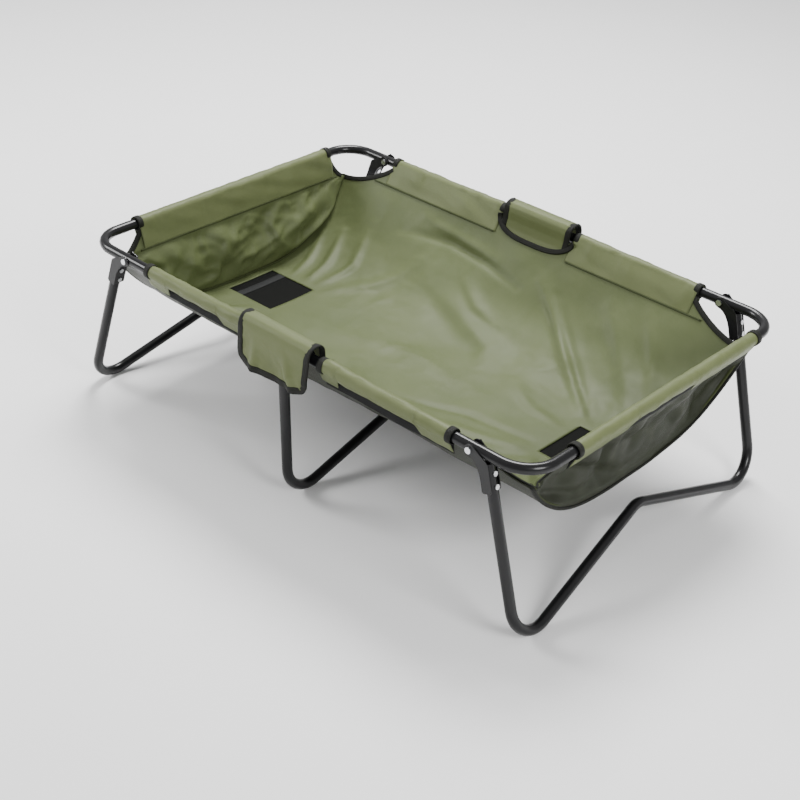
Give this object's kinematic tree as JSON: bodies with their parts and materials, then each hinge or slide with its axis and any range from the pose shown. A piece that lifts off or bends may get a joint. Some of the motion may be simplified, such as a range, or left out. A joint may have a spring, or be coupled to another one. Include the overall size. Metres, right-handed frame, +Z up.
{
  "type": "folding raised cradle bed",
  "caption": "Raised bed of slung coated cloth on a folding tubular steel frame with W-shaped leg frames and drain windows in the floor.",
  "frame": {"origin": "on the floor, under the middle of the rail rectangle", "axes": "+X along the bed towards the half that folds up, +Y across the bed, +Z up"},
  "size_m": [1.0858, 0.7404, 0.3468],
  "materials": {
    "frame_enamel": "satin black powder coat",
    "bracket_enamel": "satin black powder coat on pressed steel",
    "bright_steel": "bright zinc plate",
    "black_nut": "black plated",
    "black_nylon": "matt",
    "olive_liner": "coated woven cloth with a soft shine",
    "olive_wrap": "coated woven cloth with a soft shine",
    "dark_cover": "dark woven cloth",
    "hook_tape": "matt hook-and-loop pile",
    "black_binding": "ribbed binding tape",
    "drain_net": "open net",
    "black_webbing": "woven webbing"
  },
  "bodies": {
    "left_frame": {"frame_tube_left": "frame_enamel", "hinge_plates": "bracket_enamel", "hinge_plate_spacers": "bright_steel", "hinge_plate_rivets": "bright_steel", "fold_bolts": "bright_steel", "fold_nuts": "bright_steel", "tube_end_plugs_left": "black_nylon", "middle_leg_bolts": "bright_steel", "middle_leg_nuts": "bright_steel", "middle_leg_stops": "bright_steel", "leg_bolts_left": "bright_steel", "dome_nuts_left": "black_nut", "liner_floor_left": "olive_liner", "liner_near_side_left": "olive_liner", "liner_far_side_left": "olive_liner", "liner_end_left": "olive_liner", "outer_cover_left": "dark_cover", "rail_wraps_left": "olive_wrap", "hook_strips_left": "hook_tape", "wrap_bindings_left": "black_binding", "drain_mesh_left": "drain_net", "drain_strap_left": "black_webbing", "centre_flap_near": "olive_wrap", "centre_flap_far": "olive_wrap"},
    "right_frame": {"frame_tube_right": "frame_enamel", "hinge_saddles": "bracket_enamel", "hinge_saddle_rivets": "bright_steel", "tube_end_plugs_right": "black_nylon", "leg_bolts_right": "bright_steel", "dome_nuts_right": "black_nut", "liner_floor_right": "olive_liner", "liner_near_side_right": "olive_liner", "liner_far_side_right": "olive_liner", "liner_end_right": "olive_liner", "outer_cover_right": "dark_cover", "rail_wraps_right": "olive_wrap", "hook_strips_right": "hook_tape", "wrap_bindings_right": "black_binding", "drain_mesh_right": "drain_net", "drain_strap_right": "black_webbing"},
    "left_leg": {"leg_frame_left": "frame_enamel", "leg_brackets_left": "bracket_enamel", "leg_rivets_left": "bright_steel"},
    "right_leg": {"leg_frame_right": "frame_enamel", "leg_brackets_right": "bracket_enamel", "leg_rivets_right": "bright_steel"},
    "middle_leg": {"leg_frame_middle": "frame_enamel", "middle_leg_washers": "black_nylon"}
  },
  "joints": [
    {"name": "frame_fold", "type": "hinge", "parent": "left_frame", "child": "right_frame", "pos_m": [0, 0, 0.334], "axis": [0, -1, 0], "range_deg": [0, 178], "deforming": ["centre_flap_near", "centre_flap_far"]},
    {"name": "left_leg_fold", "type": "hinge", "parent": "left_frame", "child": "left_leg", "pos_m": [-0.41, 0, 0.32], "axis": [0, -1, 0], "range_deg": [0, 55]},
    {"name": "right_leg_fold", "type": "hinge", "parent": "right_frame", "child": "right_leg", "pos_m": [0.41, 0, 0.32], "axis": [0, 1, 0], "range_deg": [0, 55]},
    {"name": "middle_leg_fold", "type": "hinge", "parent": "left_frame", "child": "middle_leg", "pos_m": [-0.005, 0, 0.298], "axis": [0, 1, 0], "range_deg": [0, 33]}
  ]
}
